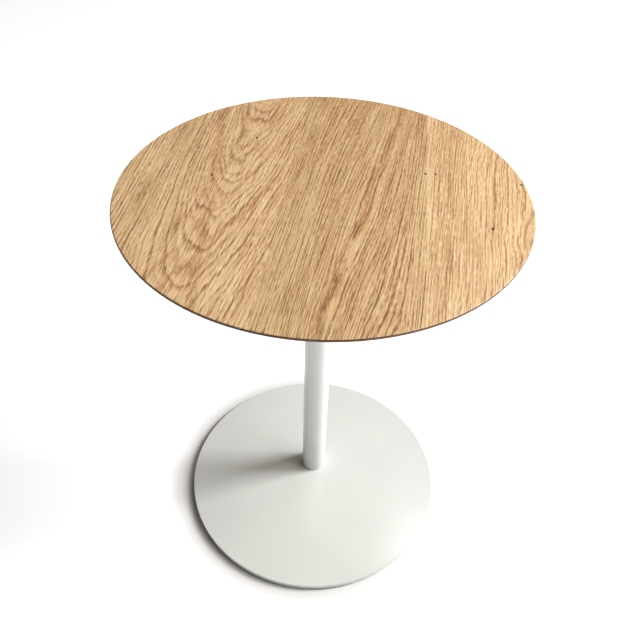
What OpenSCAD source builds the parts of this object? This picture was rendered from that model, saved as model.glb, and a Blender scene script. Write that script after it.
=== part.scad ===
// Round pedestal side table: a veneered top with a thin bevelled rim, a plain steel
// column set a little behind the centre, and a flat round steel base on felt glides.
// Frame: millimetres, +Z up, floor at z = 0, origin on the axis that top and base share.

/* [Overall] */
// Height of the table surface above the floor
table_h = 600; // [450:1:750]
// Distance of the column behind the axis of the top and base
column_setback = 25; // [0:1:50]

/* [Top] */
// Diameter of the top
top_d = 500; // [440:1:700]
// Thickness of the top at its middle
top_t = 20; // [18:0.5:30]
// Height of the upright edge above the bevel
rim_h = 3; // [2:0.5:6]
// Width of the bevel under the rim, seen from below
bevel_w = 45; // [20:1:60]
// Thickness of each veneer
veneer_t = 0.8; // [0.6:0.1:1.2]
// Turn of the grain away from straight back, clockwise seen from above
grain_angle = 5; // [-45:1:45]
// Sideways place of the left seam between veneer leaves
left_seam = -47; // [-120:1:-20]
// Sideways place of the right seam between veneer leaves
right_seam = 123; // [20:1:160]

/* [Column] */
// Outer diameter of the column tube
tube_d = 40; // [38:1:50]
// Wall of the column tube
tube_wall = 2; // [1.5:0.5:2.5]
// Length of the threaded plug in the foot of the tube
plug_l = 20; // [18:1:40]

/* [Mounting plate] */
// Diameter of the plate under the top
plate_d = 180; // [150:1:200]
// Thickness of the plate under the top
plate_t = 5; // [4:0.5:8]
// Number of screws that hold the top
screw_count = 4; // [3:1:6]

/* [Base] */
// Diameter of the base disc
base_d = 420; // [340:1:520]
// Thickness of the base disc
base_t = 6; // [6:0.5:12]
// Gap between the floor and the base disc
floor_gap = 4; // [3.5:0.1:6]
// Number of felt glides
glide_count = 6; // [4:1:8]

/* [Hidden] */
$fn = 96;
eps = 1;                              // how far a cutter runs past the face it cuts

// Heights, from the floor up
base_top = floor_gap + base_t;
under_z = table_h - top_t;
plate_z = under_z - plate_t;
rim_z = table_h - rim_h;
core_z = under_z + veneer_t;
face_z = table_h - veneer_t;

// Top
top_r = top_d / 2;
under_r = top_r - bevel_w;            // flat underside, inside the bevel
lipping_overlap = 3;                  // lipping inside the foot of the bevel
core_r = under_r - lipping_overlap;
edge_round = 1.5;                     // radius of the rounded top edge
edge_centre = [top_r - edge_round, table_h - edge_round];
joint_angle = asin(1 - veneer_t / edge_round);   // where the face veneer meets the edge
bevel_rise = rim_z - under_z;
lip_foot_r = under_r + bevel_w * veneer_t / bevel_rise;

// Steel discs
disc_round = 0.8;                     // radius of their rounded edges

// Screws that hold the top: M6 button heads in screw-in inserts
screw_d = 6;
screw_head_d = 10.5;
screw_head_h = 3.3;
screw_l = 16;
screw_to_edge = 18;                   // screw axis to the edge of the plate
screw_ring_r = plate_d / 2 - screw_to_edge;
screw_turn = 45;                      // first screw, anticlockwise from the right
washer_d = 12.5;
washer_t = 1.2;
insert_d = 10;
insert_l = 12;
plate_hole_d = 7;

// Screws that hold the base: M8 countersunk heads in the plug
base_screw_count = 3;
base_screw_d = 8;
base_screw_l = 20;
base_screw_ring_r = 12;
base_screw_turn = 90;                 // first screw, at the back
sink_depth = 0.2;                     // head face above the underside of the disc
sink_r = 8.2;                         // mouth of the countersink
base_hole_r = 4.5;

// Glides
glide_to_edge = 25;                   // glide axis to the edge of the disc
glide_ring_r = base_d / 2 - glide_to_edge;
glide_d = 24;
glide_lip = 1.2;                      // floor to the lower edge of the glide body
felt_d = 20;
felt_t = 2.5;
stem_d = 6;
stem_l = 3.4;

GLIDES = [for (i = [1 : glide_count]) str("glide_", i)];
PADS = [for (i = [1 : glide_count]) str("felt_pad_", i)];

// ---------- helpers ----------

// Copies its children around a ring.
module ring(count, radius, start = 0) {
    for (i = [0 : count - 1])
        rotate([0, 0, start + i * 360 / count])
            translate([radius, 0, 0])
                children();
}

// Moves its children onto the column axis.
module on_column() {
    translate([0, column_setback, 0])
        children();
}

// Points of a quarter circle about a centre, from one angle to another.
function arc(centre, radius, from, to, steps = 6) =
    [for (i = [0 : steps])
        let (a = from + (to - from) * i / steps)
            centre + radius * [cos(a), sin(a)]];

// Flat disc with softly rounded edges, standing on z = 0.
module soft_disc(radius, height, round_r) {
    rotate_extrude()
        polygon(concat(
            [[0, 0]],
            arc([radius - round_r, round_r], round_r, -90, 0),
            arc([radius - round_r, height - round_r], round_r, 0, 90),
            [[0, height]]));
}

// ---------- top ----------

// Face veneer over the whole top, with the upper part of the rounded edge.
module face_disc() {
    rotate_extrude()
        polygon(concat(
            [[0, face_z]],
            arc(edge_centre, edge_round, joint_angle, 90),
            [[0, table_h]]));
}

// One leaf of the face veneer, between two lines along the grain.
module veneer_leaf(from, to) {
    color([0.85, 0.70, 0.52])
        intersection() {
            face_disc();
            rotate([0, 0, -grain_angle])
                translate([from, -top_r - eps, face_z - eps])
                    cube([to - from, top_d + 2 * eps, veneer_t + 2 * eps]);
        }
}

// Board that carries both veneers, drilled from below for the inserts.
module top_core() {
    color([0.66, 0.52, 0.36])
        difference() {
            translate([0, 0, core_z])
                cylinder(r = core_r, h = face_z - core_z);
            on_column()
                ring(screw_count, screw_ring_r, screw_turn)
                    translate([0, 0, core_z - eps])
                        cylinder(d = insert_d, h = insert_l + eps);
        }
}

// Solid oak ring around the board, bevelled underneath to a thin rim.
module edge_lipping() {
    color([0.76, 0.60, 0.42])
        rotate_extrude()
            polygon(concat(
                [[core_r, core_z], [lip_foot_r, core_z], [top_r, rim_z]],
                arc(edge_centre, edge_round, 0, joint_angle, 3),
                [[core_r, face_z]]));
}

// Balancing veneer on the flat part of the underside.
module backing_veneer() {
    color([0.78, 0.63, 0.45])
        difference() {
            translate([0, 0, under_z])
                cylinder(r = under_r, h = veneer_t);
            on_column()
                ring(screw_count, screw_ring_r, screw_turn)
                    translate([0, 0, under_z - eps])
                        cylinder(d = insert_d, h = veneer_t + 2 * eps);
        }
}

// Screw-in inserts with a coarse outer thread, drawn as rings.
module threaded_inserts() {
    pitch = 2.4;
    thread_depth = 0.6;
    thread_turns = 5;
    thread_start = 0.4;
    root_r = insert_d / 2 - thread_depth;
    color([0.80, 0.68, 0.36])
        on_column()
            ring(screw_count, screw_ring_r, screw_turn)
                translate([0, 0, core_z])
                    difference() {
                        union() {
                            cylinder(r = root_r, h = insert_l);
                            for (k = [0 : thread_turns - 1])
                                translate([0, 0, thread_start + k * pitch])
                                    cylinder(d = insert_d, h = pitch / 2);
                        }
                        translate([0, 0, -eps])
                            cylinder(d = screw_d, h = insert_l + 2 * eps);
                    }
}

// ---------- mounting plate and its fixings ----------

// Steel plate welded to the head of the column.
module mounting_plate() {
    color([0.93, 0.93, 0.91])
        on_column()
            translate([0, 0, plate_z])
                difference() {
                    soft_disc(plate_d / 2, plate_t, disc_round);
                    ring(screw_count, screw_ring_r, screw_turn)
                        translate([0, 0, -eps])
                            cylinder(d = plate_hole_d, h = plate_t + 2 * eps);
                }
}

// Button-head screws, head down, with hexagon sockets.
module mounting_screws() {
    socket_af = 4;
    socket_h = 2;
    head_r = screw_head_d / 2;
    head_edge = 0.6;
    dome_r = screw_head_h - head_edge;
    color([0.72, 0.73, 0.74])
        on_column()
            ring(screw_count, screw_ring_r, screw_turn)
                translate([0, 0, plate_z - washer_t])
                    difference() {
                        union() {
                            cylinder(d = screw_d, h = screw_l);
                            rotate_extrude()
                                polygon(concat(
                                    [[0, 0], [head_r, 0]],
                                    arc([head_r - dome_r, -head_edge], dome_r, 0, -90),
                                    [[0, -screw_head_h]]));
                        }
                        translate([0, 0, -screw_head_h - eps])
                            cylinder(d = socket_af / cos(30), h = socket_h + eps, $fn = 6);
                    }
}

// Flat washers between the screw heads and the plate.
module screw_washers() {
    color([0.78, 0.79, 0.80])
        on_column()
            ring(screw_count, screw_ring_r, screw_turn)
                translate([0, 0, plate_z - washer_t])
                    difference() {
                        cylinder(d = washer_d, h = washer_t);
                        translate([0, 0, -eps])
                            cylinder(d = screw_d, h = washer_t + 2 * eps);
                    }
}

// Fillet weld between the column and the plate.
module plate_weld() {
    leg = 3;
    r = tube_d / 2;
    color([0.92, 0.92, 0.90])
        on_column()
            rotate_extrude()
                polygon(concat(
                    [[r, plate_z]],
                    arc([r + leg, plate_z - leg], leg, 180, 90)));
}

// ---------- column ----------

// Plain round steel tube from the base disc to the plate.
module column_tube() {
    color([0.94, 0.94, 0.92])
        on_column()
            translate([0, 0, base_top])
                difference() {
                    cylinder(d = tube_d, h = plate_z - base_top);
                    translate([0, 0, -eps])
                        cylinder(d = tube_d - 2 * tube_wall,
                                 h = plate_z - base_top + 2 * eps);
                }
}

// Thick steel plug welded into the foot of the tube, tapped for the base screws.
module foot_plug() {
    color([0.60, 0.61, 0.62])
        on_column()
            translate([0, 0, base_top])
                difference() {
                    cylinder(d = tube_d - 2 * tube_wall, h = plug_l);
                    ring(base_screw_count, base_screw_ring_r, base_screw_turn)
                        translate([0, 0, -eps])
                            cylinder(d = base_screw_d, h = plug_l + 2 * eps);
                }
}

// ---------- base ----------

// Heavy flat steel disc, countersunk and drilled from below.
module base_disc() {
    cone_h = sink_r - base_hole_r;
    color([0.91, 0.92, 0.90])
        translate([0, 0, floor_gap])
            difference() {
                soft_disc(base_d / 2, base_t, disc_round);
                on_column()
                    ring(base_screw_count, base_screw_ring_r, base_screw_turn) {
                        translate([0, 0, -eps])
                            cylinder(r = base_hole_r, h = base_t + 2 * eps);
                        cylinder(r1 = sink_r, r2 = base_hole_r, h = cone_h);
                    }
                ring(glide_count, glide_ring_r)
                    translate([0, 0, -eps])
                        cylinder(d = stem_d, h = stem_l + eps);
            }
}

// Countersunk screws up through the disc into the plug.
module base_screws() {
    socket_af = 5;
    socket_h = 2.6;
    head_r = sink_r - sink_depth;
    shank_r = base_screw_d / 2;
    color([0.70, 0.71, 0.72])
        on_column()
            ring(base_screw_count, base_screw_ring_r, base_screw_turn)
                translate([0, 0, floor_gap + sink_depth])
                    difference() {
                        union() {
                            cylinder(r1 = head_r, r2 = shank_r, h = head_r - shank_r);
                            cylinder(r = shank_r, h = base_screw_l);
                        }
                        translate([0, 0, -eps])
                            cylinder(d = socket_af / cos(30), h = socket_h + eps, $fn = 6);
                    }
}

// Moves its children to one glide's place.
module at_glide(i) {
    rotate([0, 0, (i - 1) * 360 / glide_count])
        translate([glide_ring_r, 0, 0])
            children();
}

// Plastic glide: a shallow cup with a stem pressed into the disc.
module glide(i) {
    color([0.86, 0.86, 0.85])
        at_glide(i)
            difference() {
                union() {
                    translate([0, 0, glide_lip])
                        cylinder(d = glide_d, h = floor_gap - glide_lip);
                    translate([0, 0, floor_gap])
                        cylinder(d = stem_d, h = stem_l);
                }
                translate([0, 0, glide_lip - eps])
                    cylinder(d = felt_d, h = felt_t - glide_lip + eps);
            }
}

// Felt disc glued into the glide's cup, the only part on the floor.
module felt_pad(i) {
    color([0.45, 0.44, 0.42])
        at_glide(i)
            cylinder(d = felt_d, h = felt_t);
}

// ---------- the table ----------

veneer_leaf(-top_r - eps, left_seam);  // veneer_left_leaf
veneer_leaf(left_seam, right_seam);  // veneer_centre_leaf
veneer_leaf(right_seam, top_r + eps);  // veneer_right_leaf
top_core();
edge_lipping();
backing_veneer();
threaded_inserts();
mounting_plate();
mounting_screws();
screw_washers();
plate_weld();
column_tube();
foot_plug();
base_disc();
base_screws();
for (i = [1 : glide_count]) {
    glide(i);
    felt_pad(i);
}
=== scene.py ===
import math

import bmesh
import bpy
from mathutils import Matrix, Vector, noise


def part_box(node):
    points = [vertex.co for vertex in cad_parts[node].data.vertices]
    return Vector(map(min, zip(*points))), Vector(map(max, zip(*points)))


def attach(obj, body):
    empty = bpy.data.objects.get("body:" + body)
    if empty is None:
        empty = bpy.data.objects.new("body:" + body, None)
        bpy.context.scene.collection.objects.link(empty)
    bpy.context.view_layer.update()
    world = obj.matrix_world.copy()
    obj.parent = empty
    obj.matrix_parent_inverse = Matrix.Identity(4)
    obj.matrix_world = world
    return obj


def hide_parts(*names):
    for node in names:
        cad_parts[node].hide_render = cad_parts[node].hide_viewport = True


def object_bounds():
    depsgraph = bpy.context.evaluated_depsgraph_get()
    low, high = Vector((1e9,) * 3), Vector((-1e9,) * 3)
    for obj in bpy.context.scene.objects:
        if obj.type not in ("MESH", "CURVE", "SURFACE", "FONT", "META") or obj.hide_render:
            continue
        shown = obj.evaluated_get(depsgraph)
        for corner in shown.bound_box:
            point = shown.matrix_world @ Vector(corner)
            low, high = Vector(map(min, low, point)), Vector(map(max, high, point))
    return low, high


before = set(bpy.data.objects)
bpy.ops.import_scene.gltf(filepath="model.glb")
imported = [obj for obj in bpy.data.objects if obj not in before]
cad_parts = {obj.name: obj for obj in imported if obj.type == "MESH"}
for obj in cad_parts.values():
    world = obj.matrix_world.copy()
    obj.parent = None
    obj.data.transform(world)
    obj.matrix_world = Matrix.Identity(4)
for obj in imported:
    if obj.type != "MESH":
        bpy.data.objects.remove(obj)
cad_low, cad_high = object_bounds()

# ---------------------------------------------------------------- settings

MM = 0.001
WHITE = (1.0, 1.0, 1.0, 1.0)

# Camera: where it stands and how near and far it sees, in metres, and how it is aimed, in degrees.
CAMERA_PLACE = (0.0, -0.709, 1.064)
CAMERA_DOWN = 43.66
CAMERA_TURN = -0.12
CAMERA_ROLL = 2.31
CAMERA_LENS_MM = 39.09
CAMERA_NEAR = 0.01
CAMERA_FAR = 200.0

# Floor, in metres: it doesn't glow near its dark centre, and glows fully beyond the second distance.
FLOOR_SIDE = 120.0
FLOOR_COLOUR = (0.80, 0.80, 0.795, 1.0)
FLOOR_GLOW = 0.56
FLOOR_GLOW_FROM_TO = (0.209, 0.26)
FLOOR_DARK_CENTRE = (-0.003, 0.001)

# Room: the direction that each wall lies in, and its brightness.
ROOM_WALLS = (((1, 0, 0), 0.95), ((0, -1, 0), 0.22), ((0, 0, 1), 0.03))

# Soft lights: name, place, aim, size (metres) and power (watts).
SOFT_LIGHTS = (
    ("window", (4.0, 0.8, 3.1), (0.0, 0.0, 0.3), (1.6, 2.0), 268.0),
    ("lamp", (0.9, -0.2, 1.5), (0.1, 0.0, 0.6), (0.6, 0.6), 8.0),
    ("skylight", (0.62, 1.22, 2.5), (0.1, -0.1, 0.3), (0.16, 0.16), 3.6),
)

# Grain of the face veneer, clockwise from straight back, as the leaves are cut.
GRAIN_ANGLE = math.radians(5.0)
# Edge lipping: its pieces, how fast their grain shifts with height, and how far from piece to piece.
LIPPING_PIECES = 6
LIPPING_SLANT = 0.6
LIPPING_SHIFT = 0.08

# Oak marks: the size of each, in millimetres across the grain and along it.
FRAY_SIZE = (3.0, 30.0)
PORE_ROW_SIZE = (1.5, 75.0)
VESSEL_SIZE = (0.8, 11.0)
CLOUD_SIZE = (22.0, 110.0)
# Slow changes: their length along the grain, and how far a streak drifts, in millimetres.
ROLL_LENGTH = 110.0
RUN_LENGTH = 600.0
DRIFT_LENGTH = 70.0
DRIFT = 9.0
# Beside the heart line, in millimetres: where the waves die down, and where the rings blur less and less.
WAVES_DIE = (15.0, 75.0)
BLUR_FADES = (12.0, 62.0)
# Rings: how slowly their width changes, in turns, and by how many turns it can be off.
RING_CHANGE = 0.23
RING_WANDER = 1.3
# Early wood, in shares of a ring: where it is full, where it fades, and how much of it the weakest year has.
EARLY_FULL = 0.15
EARLY_FADE = (0.18, 0.72)
WEAKEST_YEAR = 0.25
# Pores: how far rows count against single vessels, what early wood adds, and their depth and roughness.
ROW_SHARE = 0.58
PORES_IN_EARLY = 0.14
FLECKS_IN_EARLY = 0.06
PORE_DEPTH_MM = 0.10
PORE_DEPTH_SHARE = 0.6
PORE_ROUGHNESS = 0.18
# The noise at which marks start and are full, and the least that is left of bands and streaks.
PORE_RANGE = (0.56, 0.63)
FLECK_RANGE = (0.50, 0.40)
BAND_RANGE = (0.40, 0.56)
BAND_LEAST = 0.45
STREAK_RANGE = (0.35, 0.60)
STREAK_LEAST = 0.6
CLOUD_RANGE = (0.50, 0.74)
CLOUDS_IN_BLUR = 0.6
# Runs of darker years: how slowly they change, in rings, and their range of noise.
RUN_CHANGE = 0.11
RUN_RANGE = (0.34, 0.66)
# Pin knots are drawn out along the grain by one over this.
PIN_SQUASH = 0.6
# Painted shade on the rim, a dark band along the narrow upright rim: its height, how far below the face it
# ends, how it fades at its foot and head, its strength.
RIM_BAND = 2.6 * MM
RIM_TOP_DROP = 0.4 * MM
RIM_FOOT_FADE = 0.3 * MM
RIM_HEAD_FADE = 0.15 * MM
RIM_SHADE_STRENGTH = 0.92

# White coat: noise scales per metre, the share of cells that hold a dark speck, and its size in cells.
COAT_CLOUD_SCALE = 9.0
COAT_ROUGHNESS = (0.17, 0.20)
PEEL_SCALE = 620.0
PEEL_SHARE = 0.75
GRIT_SCALE = 2600.0
SPECKS_PER_METRE = 34.0
SPECK_SHARE = 0.15
SPECK_SIZE = (0.006, 0.013)
SPECK_STRENGTH = 0.55
# The grey line on the base disc's upper edge, partly rubbed coat and partly painted shade: from its start to
# its full strength, and its patches.
WEAR_SHADE_INWARDS = (0.9 * MM, 0.4 * MM)
WEAR_SHADE_DOWN = (1.1 * MM, 0.8 * MM)
WEAR_SHADE_SCALE = 90.0
WEAR_SHADE_RANGE = (0.40, 0.72)
WEAR_SHADE_STRENGTH = (0.3, 0.7)
RUB_ROUGHNESS = 0.18

# Metal: noise scales per metre, and how far its shade and roughness vary.
SCRATCH_SCALE = 1400.0
METAL_CLOUD_SCALE = 240.0
METAL_SHADE = (0.88, 1.05)
METAL_ROUGHNESS = (-0.06, 0.10)
# The range that most noise values lie in.
NOISE_RANGE = (0.3, 0.7)

# Weld bead: its ripples, how far they bow in radians, the steps of its shape, its overlap with the tube and
# plate, and its crown, ripple and inset in shares of the leg. The crown rises outwards and downwards alike.
WELD_RIPPLES = 34
WELD_BOW = 2.6
WELD_STEPS = 10
WELD_STEPS_PER_RIPPLE = 10
WELD_OVERLAP = 0.3 * MM
WELD_CROWN = 0.06
WELD_RIPPLE = 0.035
WELD_OUTWARDS = 0.7
WELD_INSET = 0.02

# Felt discs: the edge's unevenness, its rounding in shares of the thickness, the steps of the shape, and the
# pinhole that is left where the disc closes on its axis.
FELT_FUZZ = 0.25 * MM
FELT_ROUND = 0.35
FELT_EDGE_STEPS = 8
FELT_STEPS = 96
FELT_PINHOLE = 0.15 * MM
# How fast the unevenness changes around a disc, from disc to disc, and up the edge.
FUZZ_AROUND = 9.0
FUZZ_APART = 40.0
FUZZ_UP = 0.9


def srgb(red, green, blue):
    """A colour given in display values from 0 to 255, as linear red, green, blue, alpha."""
    def linear(value):
        value /= 255.0
        return value / 12.92 if value <= 0.04045 else ((value + 0.055) / 1.055) ** 2.4
    return (linear(red), linear(green), linear(blue), 1.0)


# ---------------------------------------------------------------- node graphs


class Graph:
    """The nodes of a material or world. Most methods take output sockets or numbers and return a socket."""

    def __init__(self, owner, shader="Principled BSDF"):
        owner.use_nodes = True
        self.owner = owner
        self.tree = owner.node_tree
        self.shader = self.tree.nodes[shader]
        self.places = self.tree.nodes.new("ShaderNodeTexCoord").outputs
        self.object_point = self.places["Object"]

    def feed(self, socket, value):
        """Links an output socket to an input, or sets the input's own value."""
        if isinstance(value, bpy.types.NodeSocket):
            self.tree.links.new(value, socket)
        else:
            socket.default_value = value

    def node(self, kind, *values, **settings):
        """A new node with its settings, its first inputs filled in order."""
        made = self.tree.nodes.new(kind)
        for key, setting in settings.items():
            setattr(made, key, setting)
        for socket, value in zip(made.inputs, values):
            if value is not None:
                self.feed(socket, value)
        return made

    def math(self, operation, first, second=0.0, third=0.0):
        return self.node("ShaderNodeMath", first, second, third, operation=operation).outputs[0]

    def add(self, first, second):
        return self.math("ADD", first, second)

    def sub(self, first, second):
        return self.math("SUBTRACT", first, second)

    def mul(self, first, second):
        return self.math("MULTIPLY", first, second)

    def scaled(self, value, factor, offset=0.0):
        return self.math("MULTIPLY_ADD", value, factor, offset)

    def length(self, x, y):
        """The distance of a point from the origin of a plane."""
        return self.math("SQRT", self.add(self.mul(x, x), self.mul(y, y)))

    def ramp(self, value, low, high, to_low=0.0, to_high=1.0, smooth=True):
        """Value mapped from low..high to to_low..to_high, held at the ends."""
        made = self.node("ShaderNodeMapRange", value, low, high, to_low, to_high)
        made.interpolation_type = "SMOOTHSTEP" if smooth else "LINEAR"
        return made.outputs["Result"]

    def vector(self, x=0.0, y=0.0, z=0.0):
        return self.node("ShaderNodeCombineXYZ", x, y, z).outputs[0]

    def split(self, vector):
        return self.node("ShaderNodeSeparateXYZ", vector).outputs

    def grain_point(self, u, v, size, seed):
        """The point to read noise at, for features of this size in millimetres across and along the grain."""
        across, along = size
        return self.vector(self.scaled(u, 1 / across), self.scaled(v, 1 / along), seed)

    def noise(self, vector, scale=1.0, detail=2.0, roughness=0.5):
        """Noise from 0 to 1 at a point."""
        made = self.tree.nodes.new("ShaderNodeTexNoise")
        self.feed(made.inputs["Vector"], vector)
        self.feed(made.inputs["Scale"], scale)
        self.feed(made.inputs["Detail"], detail)
        self.feed(made.inputs["Roughness"], roughness)
        return made.outputs["Fac"]

    def wander(self, vector, size, detail=1.0):
        """Noise centred on zero, from about -size to size."""
        return self.scaled(self.sub(self.noise(vector, 1.0, detail), 0.5), 2.0 * size)

    def random(self, value):
        """One random number from 0 to 1 for each value."""
        return self.node("ShaderNodeTexWhiteNoise", None, value, noise_dimensions="1D").outputs["Value"]

    def mix(self, amount, first, second):
        """Blend of two colours."""
        made = self.tree.nodes.new("ShaderNodeMix")
        made.data_type = "RGBA"
        self.feed(made.inputs["Factor"], amount)
        colour_a, colour_b = made.inputs[6], made.inputs[7]
        self.feed(colour_a, first)
        self.feed(colour_b, second)
        return made.outputs[2]

    def shade(self, amount, colour):
        """Colour multiplied by a grey amount."""
        made = self.tree.nodes.new("ShaderNodeVectorMath")
        made.operation = "SCALE"
        self.feed(made.inputs[0], colour if isinstance(colour, bpy.types.NodeSocket) else colour[:3])
        self.feed(made.inputs["Scale"], amount)
        return made.outputs[0]

    def bump(self, height, depth_mm, strength=1.0):
        """Surface normal from a height of 0 to 1 that stands for depth_mm."""
        made = self.tree.nodes.new("ShaderNodeBump")
        self.feed(made.inputs["Strength"], strength)
        self.feed(made.inputs["Distance"], depth_mm * MM)
        self.feed(made.inputs["Height"], height)
        return made.outputs[0]

    def finish(self, colour, roughness, normal=None, **fixed):
        """Feeds the shader; fixed values go on its own sockets, spaces written as underscores."""
        self.feed(self.shader.inputs["Base Color"], colour)
        self.feed(self.shader.inputs["Roughness"], roughness)
        if normal is not None:
            self.feed(self.shader.inputs["Normal"], normal)
        for key, value in fixed.items():
            self.shader.inputs[key.replace("_", " ")].default_value = value
        return self.owner


def new_graph(name):
    """The graph of a new material."""
    return Graph(bpy.data.materials.new(name))


def put_on(material, *nodes):
    """Gives CAD nodes a material."""
    for name in nodes:
        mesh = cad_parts[name].data
        mesh.materials.clear()
        mesh.materials.append(material)


# ---------------------------------------------------------------- oak


def face_grain(g):
    """Across the grain, along it: millimetres in the frame that the face leaves are cut in."""
    x, y, _ = g.split(g.object_point)
    across = g.sub(g.mul(x, math.cos(GRAIN_ANGLE)), g.mul(y, math.sin(GRAIN_ANGLE)))
    along = g.add(g.mul(x, math.sin(GRAIN_ANGLE)), g.mul(y, math.cos(GRAIN_ANGLE)))
    return g.scaled(across, 1 / MM), g.scaled(along, 1 / MM)


def segment_grain(g):
    """The same for the edge lipping, whose straight pieces are cut to the rim's curve."""
    x, y, z = g.split(g.object_point)
    turn = g.scaled(g.math("ARCTAN2", y, x), LIPPING_PIECES / math.tau)
    number = g.math("FLOOR", turn)
    middle = g.scaled(number, math.tau / LIPPING_PIECES, math.pi / LIPPING_PIECES)
    cosine, sine = g.math("COSINE", middle), g.math("SINE", middle)
    out = g.add(g.mul(x, cosine), g.mul(y, sine))
    along = g.sub(g.mul(y, cosine), g.mul(x, sine))
    across = g.add(g.add(out, g.mul(z, LIPPING_SLANT)), g.mul(g.random(number), LIPPING_SHIFT))
    return g.scaled(across, 1 / MM), g.scaled(along, 1 / MM)


def ring_field(g, u, v, figure):
    """Distance from the heart, whose level lines are the rings; the fibres' own u; how far rings blur."""
    seed = figure["seed"]
    lean = figure["lean"]
    for start, end, change in figure["fans"]:
        lean = g.add(g.ramp(u, start, end, 0.0, change), lean)
    side = g.sub(g.sub(u, figure["heart"]), g.mul(v, lean))
    slow = g.vector(0.0, g.scaled(v, 1 / ROLL_LENGTH), seed + 3.1)
    deep = g.add(g.scaled(v, figure["dive"], figure["depth"]), g.wander(slow, figure["roll"]))
    from_heart = g.math("ABSOLUTE", side)
    near = g.ramp(from_heart, *WAVES_DIE, 1.0, figure["calm"])
    bend = 0.0
    for width, length, size in figure["waves"]:
        wave = g.grain_point(u, v, (width, length), seed + width)
        bend = g.add(bend, g.mul(near, g.wander(wave, size, 2.0)))
    fray = g.wander(g.grain_point(u, v, FRAY_SIZE, seed + 1.3), figure["fray"], 2.0)
    distance = g.add(g.add(g.length(side, deep), bend), fray)
    blur = g.ramp(from_heart, *BLUR_FADES, figure["soft_heart"], 0.0)
    return distance, g.add(side, g.mul(bend, 0.5)), blur


def early_wood(g, distance, ring, seed):
    """The count of rings, each with its own width, and their early wood: a sharp start that fades slowly."""
    turn = g.scaled(distance, 1 / ring)
    turn = g.add(turn, g.wander(g.vector(g.scaled(turn, RING_CHANGE), seed, 0.0), RING_WANDER))
    year = g.math("FLOOR", turn)
    phase = g.sub(turn, year)
    early = g.mul(g.ramp(phase, 0.0, EARLY_FULL), g.ramp(phase, *EARLY_FADE, 1.0, 0.0))
    return turn, g.mul(early, g.ramp(g.random(year), 0.0, 1.0, WEAKEST_YEAR, 1.0, smooth=False))


def pore_streaks(g, fibre, v, seed):
    """Noise drawn out along the grain: rows of pores, like long dashes, with single vessels in them."""
    row = g.noise(g.grain_point(fibre, v, PORE_ROW_SIZE, seed), 1.0, 2.0, 0.6)
    vessel = g.noise(g.grain_point(fibre, v, VESSEL_SIZE, seed + 5.0), 1.0, 1.0)
    return g.add(g.mul(row, ROW_SHARE), g.mul(vessel, 1.0 - ROW_SHARE))


def dark_streaks(g, u, v, drift, streaks):
    """Long darker streaks, each a u at the origin, a slope along the grain, a half width and a strength."""
    total = 0.0
    for start, slope, width, strength in streaks:
        gap = g.math("ABSOLUTE", g.add(g.add(u, g.scaled(v, -slope, -start)), drift))
        total = g.math("MAXIMUM", total, g.ramp(gap, 0.3 * width, width, strength, 0.0))
    return total


def pin_knots(g, u, v, pins):
    """Small dark knots, each a u, a v and a radius, drawn out a little along the grain."""
    total = 0.0
    for pin_u, pin_v, radius in pins:
        du = g.scaled(u, 1 / radius, -pin_u / radius)
        dv = g.scaled(v, PIN_SQUASH / radius, -PIN_SQUASH * pin_v / radius)
        total = g.math("MAXIMUM", total, g.ramp(g.length(du, dv), 0.5, 1.5, 1.0, 0.0))
    return total


def rim_painted_shade(g, top):
    """How strongly the narrow upright rim below the height top is darkened with painted shade."""
    height = g.split(g.object_point)[2]
    foot = top - RIM_BAND
    return g.mul(g.ramp(height, foot - RIM_FOOT_FADE, foot, 0.0, RIM_SHADE_STRENGTH),
                 g.ramp(height, top, top + RIM_HEAD_FADE, 1.0, 0.0))


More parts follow.
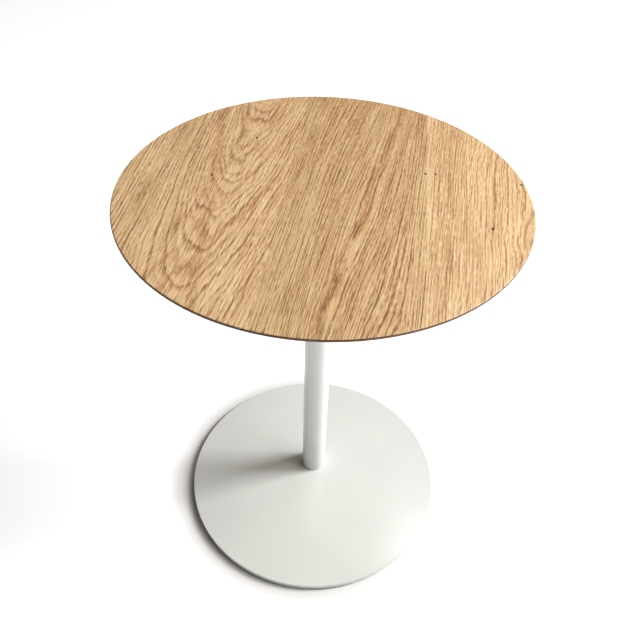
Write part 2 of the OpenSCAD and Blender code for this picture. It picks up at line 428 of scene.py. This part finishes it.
def oak(name, grain, figure, look):
    """Lacquered open-pored oak on the grain frame and ring figure given."""
    g = new_graph(name)
    seed = figure["seed"]
    u, v = grain(g)
    distance, fibre, blur = ring_field(g, u, v, figure)
    turn, early = early_wood(g, distance, figure["ring"], seed)
    early = g.mul(early, g.sub(1.0, blur))

    # fine marks: dark pores, pale flecks between them, and the warm band of early wood
    streak = pore_streaks(g, fibre, v, seed)
    pores = g.ramp(g.add(streak, g.mul(early, PORES_IN_EARLY)), *PORE_RANGE)
    flecks = g.ramp(g.add(streak, g.mul(early, FLECKS_IN_EARLY)), *FLECK_RANGE)
    band = g.mul(early, g.ramp(streak, *BAND_RANGE, BAND_LEAST, 1.0))

    # broad colour: runs of darker years, warm clouds and long streaks
    runs = g.noise(g.grain_point(turn, v, (1 / RUN_CHANGE, RUN_LENGTH), seed + 9.0), 1.0, 2.0)
    cloud = g.noise(g.grain_point(fibre, v, CLOUD_SIZE, seed + 2.0), 1.0, 3.0)
    cloud = g.mul(g.ramp(cloud, *CLOUD_RANGE), g.scaled(blur, CLOUDS_IN_BLUR, look["clouds"]))
    drift = g.wander(g.vector(g.scaled(v, 1 / DRIFT_LENGTH), seed, 0.0), DRIFT, 2.0)
    long_streaks = dark_streaks(g, u, v, drift, figure["streaks"])
    long_streaks = g.mul(long_streaks, g.ramp(streak, *STREAK_RANGE, STREAK_LEAST, 1.0))

    colour = g.mix(g.ramp(runs, *RUN_RANGE), look["light"], look["mid"])
    colour = g.mix(cloud, colour, look["warm"])
    colour = g.mix(long_streaks, colour, look["warm"])
    colour = g.mix(g.mul(early, look["bands"]), colour, look["warm"])
    colour = g.mix(g.mul(flecks, look["flecks"]), colour, look["fleck"])
    colour = g.mix(g.mul(band, look["contrast"]), colour, look["dark"])
    colour = g.mix(g.mul(pores, look["pores"]), colour, look["pore"])
    if figure["pins"]:
        colour = g.mix(pin_knots(g, u, v, figure["pins"]), colour, PIN_COLOUR)
    # painted shade: a dark band along the narrow upright rim, below rim_top
    if "rim_top" in look:
        colour = g.mix(rim_painted_shade(g, look["rim_top"]), colour, RIM_SHADE_COLOUR)

    rough = g.ramp(pores, 0.0, 1.0, look["rough"], look["rough"] + PORE_ROUGHNESS)
    height = g.sub(1.0, g.add(g.mul(pores, PORE_DEPTH_SHARE), g.mul(band, 1.0 - PORE_DEPTH_SHARE)))
    return g.finish(colour, rough, g.bump(height, PORE_DEPTH_MM, 0.7), Specular_IOR_Level=0.45)


OAK_TONE = {
    "light": (221, 184, 135),
    "mid": (207, 167, 120),
    "warm": (182, 131, 87),
    "fleck": (249, 222, 176),
    "dark": (144, 94, 52),
    "pore": (116, 70, 36),
}


def oak_look(lift, **changes):
    """The oak colours, lifted or lowered by display steps, with the strength of each mark."""
    look = {name: srgb(*(value + lift for value in tone)) for name, tone in OAK_TONE.items()}
    look.update(contrast=0.36, bands=0.54, pores=0.66, flecks=0.60, clouds=0.45, rough=0.42)
    look.update(changes)
    return look


PIN_COLOUR = srgb(72, 44, 26)
# The colour of the painted shade along the upright rim.
RIM_SHADE_COLOUR = srgb(88, 56, 32)

# Figures, in millimetres on the grain frame (u across, v along).
# heart: the u of the heart line. lean: its slope. fans: from u, to u, slope added. depth, dive, roll: how
# deep the heart lies, how fast that changes, and how it rolls. ring: a year's width. fray: how ragged the
# rings are. waves: width, length and size. calm: how much of them is left far from the heart. soft_heart:
# how far rings blur at the heart. streaks and pins: see dark_streaks and pin_knots.
STRAIGHT = dict(calm=0.25, soft_heart=0.0, fans=(), streaks=(), pins=())
LEFT_FIGURE = dict(
    seed=2.0, heart=-118.0, lean=0.05, depth=40.0, dive=-0.13, roll=4.0, ring=3.8, fray=0.8,
    calm=0.25, soft_heart=0.25,
    fans=((-140.0, -90.0, 0.03),),
    waves=((60, 210, 9.0), (24, 80, 3.5), (8, 24, 1.0)),
    streaks=((-137.0, -0.13, 9.0, 0.8), (-66.0, 0.39, 6.0, 0.75),
             (-102.0, 0.33, 5.0, 0.6), (-52.0, 0.16, 5.0, 0.5)),
    pins=((-102.0, 114.0, 1.6), (-171.0, 77.0, 1.2), (-140.0, 16.0, 1.4)),
)
CENTRE_FIGURE = dict(
    STRAIGHT, seed=17.0, heart=54.0, lean=0.07, depth=9.0, dive=-0.03, roll=4.0, ring=3.1, fray=0.8,
    soft_heart=0.2,
    fans=((-30.0, 45.0, 0.08), (58.0, 110.0, -0.09)),
    waves=((50, 260, 7.0), (16, 110, 2.2)),
    streaks=((54.0, 0.158, 7.0, 0.8), (74.0, 0.15, 5.0, 0.45)),
    pins=((121.0, 60.0, 1.4),),
)
RIGHT_FIGURE = dict(
    STRAIGHT, seed=31.0, heart=252.0, lean=0.06, depth=30.0, dive=0.03, roll=7.0, ring=3.4, fray=0.8,
    calm=0.8,
    fans=((160.0, 220.0, 0.04),),
    waves=((55, 200, 9.0), (18, 60, 3.0), (8, 24, 0.7)),
    streaks=((172.0, -0.05, 7.0, 0.3), (150.0, 0.03, 4.0, 0.4)),
    pins=((134.0, 61.0, 1.4), (198.0, -45.0, 1.8), (239.0, 53.0, 1.4)),
)
PLAIN_FIGURE = dict(
    STRAIGHT, seed=45.0, heart=-420.0, lean=0.02, depth=60.0, dive=0.0, roll=4.0, ring=3.0, fray=0.5,
    waves=((40, 240, 8.0),),
)
LEAVES = {
    "veneer_left_leaf": (LEFT_FIGURE, oak_look(9, contrast=0.40)),
    "veneer_centre_leaf": (CENTRE_FIGURE, oak_look(-7, clouds=0.25, contrast=0.42)),
    "veneer_right_leaf": (RIGHT_FIGURE, oak_look(5, contrast=0.26, bands=0.42, pores=0.56, flecks=0.60)),
}


def finish_oak():
    # rim_top: the height where the rim's painted shade ends, just below the face.
    rim_top = cad_high.z - RIM_TOP_DROP
    for leaf, (figure, look) in LEAVES.items():
        put_on(oak("oak_" + leaf, face_grain, figure, dict(look, rim_top=rim_top)), leaf)
    backing_look = oak_look(-6, contrast=0.3, bands=0.4, pores=0.5, rough=0.55)
    put_on(oak("oak_backing", face_grain, PLAIN_FIGURE, backing_look), "backing_veneer")
    lipping_look = oak_look(-18, rim_top=rim_top)
    put_on(oak("oak_lipping", segment_grain, PLAIN_FIGURE, lipping_look), "edge_lipping")


# ---------------------------------------------------------------- other materials


def worn_and_shaded_edge(g):
    """How grey the base disc's upper edge is, in patches: partly rubbed coat, partly painted shade."""
    x, y, z = g.split(g.object_point)
    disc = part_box("base_disc")[1]
    outer, inner = (disc.x - inwards for inwards in WEAR_SHADE_INWARDS)
    lower, upper = (disc.z - down for down in WEAR_SHADE_DOWN)
    edge = g.mul(g.ramp(g.length(x, y), outer, inner), g.ramp(z, lower, upper))
    patches = g.noise(g.object_point, WEAR_SHADE_SCALE, 4.0, 0.65)
    return g.mul(edge, g.ramp(patches, *WEAR_SHADE_RANGE, *WEAR_SHADE_STRENGTH))


def dark_specks(g):
    """A few small specks, in one cell out of several, drawn with a soft limit."""
    cells = g.node("ShaderNodeTexVoronoi", g.object_point)
    g.feed(cells.inputs["Scale"], SPECKS_PER_METRE)
    draw = g.split(cells.outputs["Color"])[0]
    chosen = g.ramp(draw, 1.0 - SPECK_SHARE - 0.01, 1.0 - SPECK_SHARE + 0.01)
    return g.mul(chosen, g.ramp(cells.outputs["Distance"], *SPECK_SIZE, SPECK_STRENGTH, 0.0))


def powder_coat(name):
    """White powder coat: fine orange peel, a few dark specks, and grey patches on the base disc's edge,
    partly rubbed coat and partly painted shade.
    """
    g = new_graph(name)
    cloud = g.noise(g.object_point, COAT_CLOUD_SCALE, 3.0)
    peel = g.noise(g.object_point, PEEL_SCALE, 2.0)
    grit = g.noise(g.object_point, GRIT_SCALE, 1.0)
    wear_and_shade = worn_and_shaded_edge(g)

    colour = g.mix(g.ramp(cloud, *NOISE_RANGE), srgb(220, 223, 219), srgb(224, 226, 222))
    # grey on the base disc's upper edge: partly rubbed coat, partly painted shade
    colour = g.mix(wear_and_shade, colour, srgb(158, 156, 150))
    colour = g.mix(dark_specks(g), colour, srgb(70, 68, 62))
    rough = g.add(g.ramp(cloud, *NOISE_RANGE, *COAT_ROUGHNESS), g.mul(wear_and_shade, RUB_ROUGHNESS))
    height = g.add(g.mul(peel, PEEL_SHARE), g.mul(grit, 1.0 - PEEL_SHARE))
    return g.finish(colour, rough, g.bump(height, 0.02, 0.5), Specular_IOR_Level=0.5)


def metal(name, colour, rough):
    """Bare or plated metal: cloudy, with fine scratches."""
    g = new_graph(name)
    scratch = g.noise(g.object_point, SCRATCH_SCALE, 3.0)
    cloud = g.noise(g.object_point, METAL_CLOUD_SCALE, 2.0)
    shade = g.ramp(cloud, *NOISE_RANGE, *METAL_SHADE)
    rough = g.ramp(scratch, *NOISE_RANGE, *(rough + change for change in METAL_ROUGHNESS))
    return g.finish(g.shade(shade, colour), rough, g.bump(scratch, 0.02, 0.4), Metallic=1.0)


def plain(name, light, dark, rough, scale, depth_mm):
    """A dull material with one grain, in two close colours."""
    g = new_graph(name)
    grain = g.noise(g.object_point, scale, 4.0, 0.65)
    colour = g.mix(g.ramp(grain, *NOISE_RANGE), dark, light)
    return g.finish(colour, rough, g.bump(grain, depth_mm, 0.6))


def finish_rest():
    coat = powder_coat("powder_coat")
    put_on(coat, "column_tube", "base_disc", "mounting_plate")
    put_on(plain("fibreboard", srgb(176, 146, 108), srgb(150, 120, 84), 0.85, 900.0, 0.1), "top_core")
    put_on(metal("zinc", srgb(196, 198, 200), 0.32), "mounting_screws", "screw_washers", "base_screws")
    put_on(metal("insert_brass", srgb(214, 178, 104), 0.30), "threaded_inserts")
    put_on(metal("plug_steel", srgb(150, 150, 152), 0.40), "foot_plug")
    glide = plain("glide_plastic", srgb(226, 226, 222), srgb(216, 216, 212), 0.45, 1500.0, 0.02)
    felt = plain("felt", srgb(132, 128, 120), srgb(96, 92, 86), 0.95, 1800.0, 0.3)
    put_on(glide, *(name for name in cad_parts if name.startswith("glide_")))
    for name in sorted(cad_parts):
        if name.startswith("felt_pad_"):
            build_felt_pad(name, felt)
    build_weld(coat)


# ---------------------------------------------------------------- detail pieces


def lathe(name, profile_at, steps, centre, material):
    """A closed ring swept about an upright axis; profile_at(turn) gives the (radius, height) pairs there."""
    mesh = bpy.data.meshes.new(name)
    shape = bmesh.new()
    loops = []
    for step in range(steps):
        turn = math.tau * step / steps
        loops.append([shape.verts.new((centre[0] + radius * math.cos(turn),
                                       centre[1] + radius * math.sin(turn), height))
                      for radius, height in profile_at(turn)])
    count = len(loops[0])
    for step, loop in enumerate(loops):
        following = loops[(step + 1) % steps]
        for k in range(count):
            shape.faces.new((loop[k], following[k], following[(k + 1) % count], loop[(k + 1) % count]))
    bmesh.ops.recalc_face_normals(shape, faces=shape.faces)
    shape.to_mesh(mesh)
    shape.free()
    mesh.shade_smooth()
    mesh.materials.append(material)
    piece = bpy.data.objects.new(name, mesh)
    bpy.context.scene.collection.objects.link(piece)
    return piece


def build_weld(material):
    """The weld under the plate as a rippled bead, laid in short overlapping steps."""
    low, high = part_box("plate_weld")
    centre = (low + high) / 2
    leg = high.z - low.z
    tube_radius = (high.x - low.x) / 2 - leg

    def profile(turn):
        points = [(tube_radius - WELD_OVERLAP, high.z + WELD_OVERLAP)]
        for k in range(WELD_STEPS + 1):
            across = k / WELD_STEPS
            ripple = math.sin(WELD_RIPPLES * turn + WELD_BOW * (2.0 * across - 1.0) ** 2)
            crown = math.sin(math.pi * across) * leg * (WELD_CROWN + WELD_RIPPLE * ripple)
            out = crown * WELD_OUTWARDS - WELD_INSET * leg
            points.append((tube_radius + leg * across + out, low.z + leg * across - out))
        return points

    bead = lathe("weld_bead", profile, WELD_RIPPLES * WELD_STEPS_PER_RIPPLE, centre, material)
    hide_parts("plate_weld")
    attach(bead, "root")


def build_felt_pad(node, material):
    """One felt disc, its edge rounded and a little uneven as cut felt is."""
    low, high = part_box(node)
    centre = (low + high) / 2
    radius, thickness = (high.x - low.x) / 2, high.z - low.z
    soft = FELT_ROUND * thickness

    def profile(turn):
        direction = Vector((math.cos(turn), math.sin(turn), 0.0))
        points = [(FELT_PINHOLE, low.z)]
        for k in range(FELT_EDGE_STEPS + 1):
            angle = math.pi * (k / FELT_EDGE_STEPS - 0.5)
            middle = low.z + soft if angle < 0 else high.z - soft
            up = Vector((0.0, 0.0, FUZZ_UP * k))
            fuzz = noise.noise(direction * FUZZ_AROUND + centre * FUZZ_APART + up)
            points.append((radius - soft - FELT_FUZZ + soft * math.cos(angle) + FELT_FUZZ * fuzz,
                           middle + soft * math.sin(angle)))
        points.append((FELT_PINHOLE, high.z))
        return points

    pad = lathe(node.replace("felt_pad", "felt_disc"), profile, FELT_STEPS, centre, material)
    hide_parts(node)
    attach(pad, "root")


# ---------------------------------------------------------------- studio


def build_floor():
    """A white photographic table that glows, except where the object stands."""
    mesh = bpy.data.meshes.new("studio_floor")
    half = FLOOR_SIDE / 2
    corners = [(-half, -half, 0), (half, -half, 0), (half, half, 0), (-half, half, 0)]
    mesh.from_pydata(corners, [], [(0, 1, 2, 3)])
    floor = bpy.data.objects.new("studio_floor", mesh)
    bpy.context.scene.collection.objects.link(floor)
    g = new_graph("studio_floor")
    x, y, _ = g.split(g.object_point)
    away = g.length(g.sub(x, FLOOR_DARK_CENTRE[0]), g.sub(y, FLOOR_DARK_CENTRE[1]))
    g.feed(g.shader.inputs["Emission Strength"], g.ramp(away, *FLOOR_GLOW_FROM_TO, 0.0, FLOOR_GLOW))
    mesh.materials.append(g.finish(FLOOR_COLOUR, 0.9, Specular_IOR_Level=0.1, Emission_Color=WHITE))


def build_room():
    """Soft light from the room: each wall is brightest straight ahead and fades to the sides."""
    world = bpy.data.worlds.new("room")
    bpy.context.scene.world = world
    g = Graph(world, "Background")
    direction = g.places["Generated"]
    total = 0.0
    for towards, strength in ROOM_WALLS:
        facing = g.node("ShaderNodeVectorMath", direction, towards, operation="DOT_PRODUCT").outputs["Value"]
        squared = g.math("POWER", g.math("MAXIMUM", facing), 2.0)
        total = g.math("MULTIPLY_ADD", squared, strength, total)
    g.feed(g.shader.inputs["Strength"], total)
    g.feed(g.shader.inputs["Color"], WHITE)


def soft_light(name, place, aim, size, power):
    """A rectangular area light that faces the point it is aimed at."""
    light = bpy.data.lights.new(name, "AREA")
    light.shape = "RECTANGLE"
    light.size, light.size_y = size
    light.energy = power
    holder = bpy.data.objects.new(name, light)
    holder.location = place
    holder.rotation_euler = (Vector(aim) - Vector(place)).to_track_quat("-Z", "Y").to_euler()
    bpy.context.scene.collection.objects.link(holder)


def build_camera():
    data = bpy.data.cameras.new("camera")
    data.lens = CAMERA_LENS_MM
    data.clip_start = CAMERA_NEAR
    data.clip_end = CAMERA_FAR
    camera = bpy.data.objects.new("camera", data)
    aim = (Matrix.Rotation(math.radians(CAMERA_TURN), 4, "Z")
           @ Matrix.Rotation(math.radians(90.0 - CAMERA_DOWN), 4, "X")
           @ Matrix.Rotation(math.radians(CAMERA_ROLL), 4, "Z"))
    camera.matrix_world = Matrix.Translation(CAMERA_PLACE) @ aim
    bpy.context.scene.collection.objects.link(camera)
    bpy.context.scene.camera = camera


finish_oak()
finish_rest()
build_floor()
build_room()
for soft in SOFT_LIGHTS:
    soft_light(*soft)
build_camera()
bpy.context.scene.view_settings.view_transform = "Standard"
